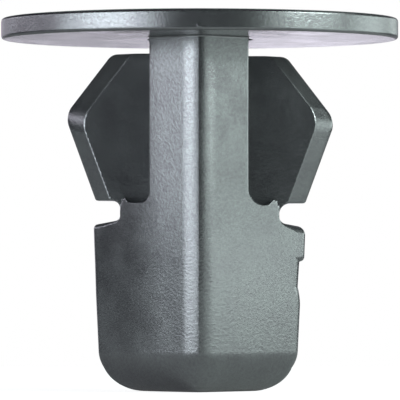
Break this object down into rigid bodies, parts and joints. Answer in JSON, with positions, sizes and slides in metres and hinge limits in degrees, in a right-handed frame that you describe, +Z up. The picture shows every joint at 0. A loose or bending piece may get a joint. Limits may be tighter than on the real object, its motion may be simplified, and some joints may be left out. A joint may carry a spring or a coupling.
{
  "type": "nut clip",
  "caption": "One-piece moulded nut clip: round flange on a square shank with snap wings and a screw bore; pushed into a square panel hole to take a self-tapping screw.",
  "frame": {"origin": "middle of the flat end of the tip, which the clip stands on; bottom centre of its box", "axes": "+Z up the screw bore, from the tip to the flange; X from wing to wing; Y from one corner column to the other"},
  "size_m": [0.02, 0.02, 0.0188],
  "materials": {
    "nylon": "moulded semi-matte grey nylon with a fine grain"
  },
  "bodies": {
    "root": {"nut_clip": "nylon"}
  },
  "joints": []
}
